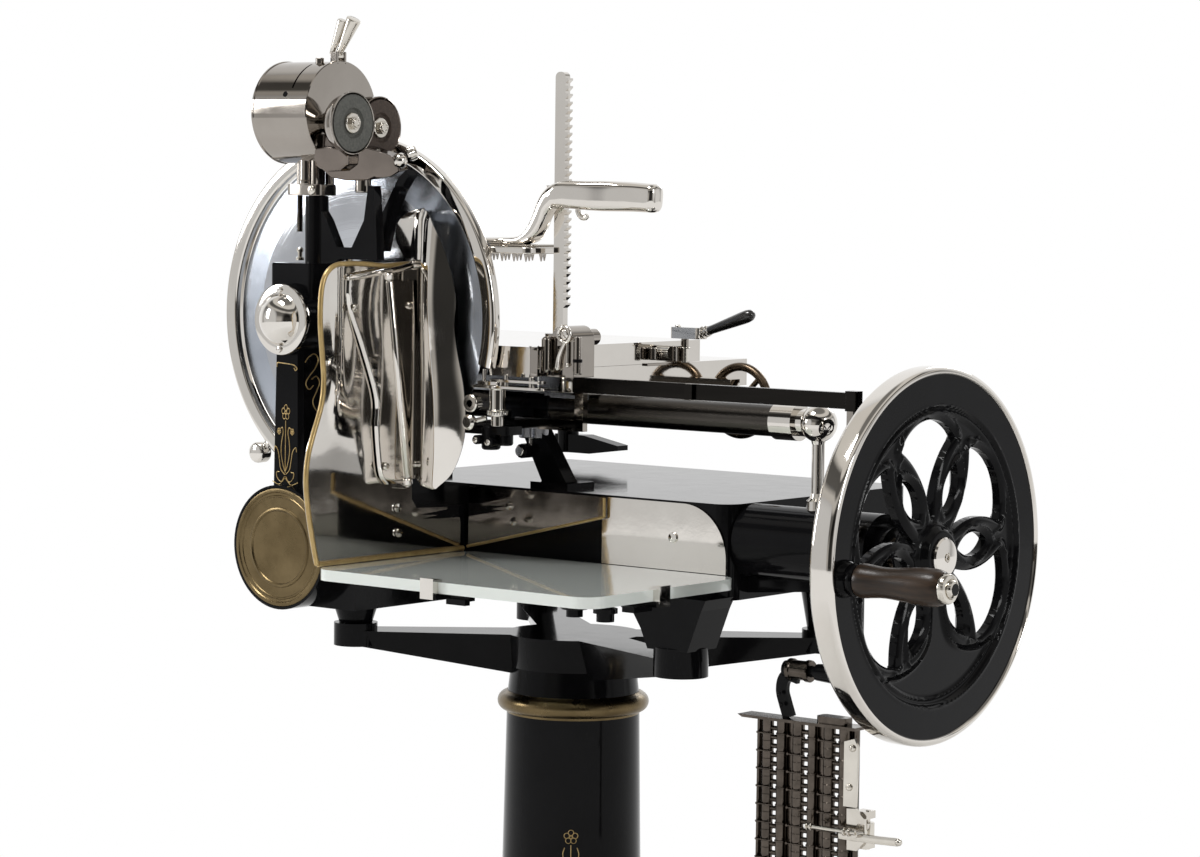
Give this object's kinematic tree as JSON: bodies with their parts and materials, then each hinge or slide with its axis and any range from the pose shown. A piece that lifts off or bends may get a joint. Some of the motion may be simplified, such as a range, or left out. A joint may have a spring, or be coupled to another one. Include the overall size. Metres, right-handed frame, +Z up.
{
  "type": "hand crank meat slicer",
  "caption": "Flywheel driven rotary meat slicer on a round pedestal, with a sliding meat carriage, blade sharpener, glass tray and hanging slice stacker.",
  "frame": {"origin": "on the floor, on the axis of the pedestal", "axes": "+Z up; +X from the blade towards the flywheel; +Y from the blade side to the meat table side"},
  "size_m": [1.04, 0.622, 1.4646],
  "materials": {
    "black_enamel": "gloss",
    "nickel": "polished",
    "blade_steel": "polished",
    "dark_steel": "satin",
    "brass": "satin",
    "bronze": "satin",
    "milk_glass": "gloss",
    "dark_wood": "satin",
    "black_grip": "gloss",
    "green_stone": "matte",
    "brown_stone": "matte",
    "gear_steel": "satin"
  },
  "bodies": {
    "frame": {"pedestal_foot": "black_enamel", "pedestal_column": "black_enamel", "pedestal_collar": "brass", "pedestal_head": "black_enamel", "bed_casting": "black_enamel", "shaft_housing": "black_enamel", "shaft_bushes": "bronze", "gear_column": "black_enamel", "case_lid": "brass", "hub_dome": "nickel", "guard_ring": "nickel", "cover_plate": "nickel", "brass_trim": "brass", "wing_plate": "nickel", "splash_plate": "nickel", "back_plate": "nickel", "tray_glass": "milk_glass", "tray_frame": "black_enamel", "tray_clips": "nickel", "guide_tube": "dark_steel", "tube_stands": "black_enamel", "ball_post": "nickel", "feed_rail": "dark_steel", "rail_bracket": "nickel", "gauge_bracket": "black_enamel", "gauge_cluster": "nickel", "panel_screws": "nickel", "sharpener_post": "black_enamel", "stacker_hanger": "black_enamel"},
    "flywheel": {"flywheel_rim": "nickel", "flywheel_web": "black_enamel", "flywheel_cap": "nickel", "main_shaft": "gear_steel", "handle_spindle": "black_enamel"},
    "crank_grip": {"wooden_grip": "dark_wood", "grip_ferrule": "nickel"},
    "cross_shaft_body": {"cross_shaft": "gear_steel"},
    "vertical_shaft_body": {"vertical_shaft": "gear_steel"},
    "blade_body": {"blade": "blade_steel", "blade_shaft": "gear_steel"},
    "carriage": {"carriage_base": "nickel", "carriage_leg": "black_enamel"},
    "table": {"meat_table": "nickel", "rack_post": "nickel", "rack_clamp": "nickel", "lever_stud": "nickel"},
    "holder": {"meat_holder": "nickel", "holder_spikes": "nickel"},
    "feed_lever_body": {"feed_lever": "nickel", "lever_grip": "black_grip"},
    "feed_wheel_body": {"feed_wheel": "bronze", "feed_screw": "gear_steel"},
    "sharpener": {"sharpener_drum": "nickel"},
    "cam_lever": {"sharpener_lever": "nickel"},
    "truing_stone_body": {"truing_stone": "green_stone"},
    "honing_stone_body": {"honing_stone": "brown_stone"},
    "deflector": {"slice_deflector": "nickel"},
    "stacker": {"stacker_frame": "dark_steel", "stacker_chains": "dark_steel"},
    "stacker_lever_body": {"stacker_lever": "dark_steel"}
  },
  "joints": [
    {"name": "flywheel_spin", "type": "hinge", "parent": "frame", "child": "flywheel", "pos_m": [0.38, -0.04, 0.9014], "axis": [1, 0, 0], "continuous": true},
    {"name": "grip_spin", "type": "hinge", "parent": "flywheel", "child": "crank_grip", "pos_m": [0.59, -0.20977, 0.8925], "axis": [1, 0, 0], "continuous": true},
    {"name": "cross_spin", "type": "hinge", "parent": "frame", "child": "cross_shaft_body", "pos_m": [-0.18, -0.15, 0.9014], "axis": [0, 1, 0], "continuous": true},
    {"name": "vertical_spin", "type": "hinge", "parent": "frame", "child": "vertical_shaft_body", "pos_m": [-0.18, -0.25, 1.02], "axis": [0, 0, 1], "continuous": true},
    {"name": "blade_spin", "type": "hinge", "parent": "frame", "child": "blade_body", "pos_m": [-0.18, -0.2, 1.13], "axis": [0, 1, 0], "continuous": true},
    {"name": "carriage_slide", "type": "slide", "parent": "frame", "child": "carriage", "axis": [1, 0, 0], "range_m": [0, 0.23]},
    {"name": "table_feed", "type": "slide", "parent": "carriage", "child": "table", "axis": [0, 1, 0], "range_m": [0, 0.07]},
    {"name": "holder_slide", "type": "slide", "parent": "table", "child": "holder", "axis": [0, 0, 1], "range_m": [-0.085, 0.1]},
    {"name": "feed_lever_swing", "type": "hinge", "parent": "table", "child": "feed_lever_body", "pos_m": [0.104, 0.065, 1.12], "axis": [0, 0, 1], "range_deg": [-35, 35]},
    {"name": "feed_wheel_spin", "type": "hinge", "parent": "carriage", "child": "feed_wheel_body", "pos_m": [0.116, 0.156, 1.036], "axis": [0, 1, 0], "continuous": true},
    {"name": "sharpener_lift", "type": "slide", "parent": "frame", "child": "sharpener", "axis": [0, 0, 1], "range_m": [0, 0.035]},
    {"name": "cam_lever_swing", "type": "hinge", "parent": "sharpener", "child": "cam_lever", "pos_m": [-0.149, -0.24, 1.4205], "axis": [0, 1, 0], "range_deg": [-45, 25]},
    {"name": "truing_stone_spin", "type": "hinge", "parent": "sharpener", "child": "truing_stone_body", "pos_m": [-0.1065, -0.269, 1.346], "axis": [1, 0, 0], "continuous": true},
    {"name": "honing_stone_spin", "type": "hinge", "parent": "sharpener", "child": "honing_stone_body", "pos_m": [-0.121, -0.2065, 1.342], "axis": [1, 0, 0], "continuous": true},
    {"name": "deflector_swing", "type": "hinge", "parent": "frame", "child": "deflector", "pos_m": [-0.082, -0.212, 1.064], "axis": [0, 0.1439, -0.9896], "range_deg": [0, 60]},
    {"name": "stacker_swing", "type": "hinge", "parent": "frame", "child": "stacker", "pos_m": [0.345, -0.04, 0.766], "axis": [1, 0, 0], "range_deg": [-20, 20]},
    {"name": "stacker_lever_swing", "type": "hinge", "parent": "stacker", "child": "stacker_lever_body", "pos_m": [0.436, -0.04, 0.605], "axis": [0, 0, 1], "range_deg": [0, 35]}
  ],
  "couplings": [
    {"joint": "cross_spin", "follows": "flywheel_spin", "ratio": 1.5},
    {"joint": "vertical_spin", "follows": "flywheel_spin", "ratio": -1.5},
    {"joint": "blade_spin", "follows": "flywheel_spin", "ratio": -1.5}
  ]
}
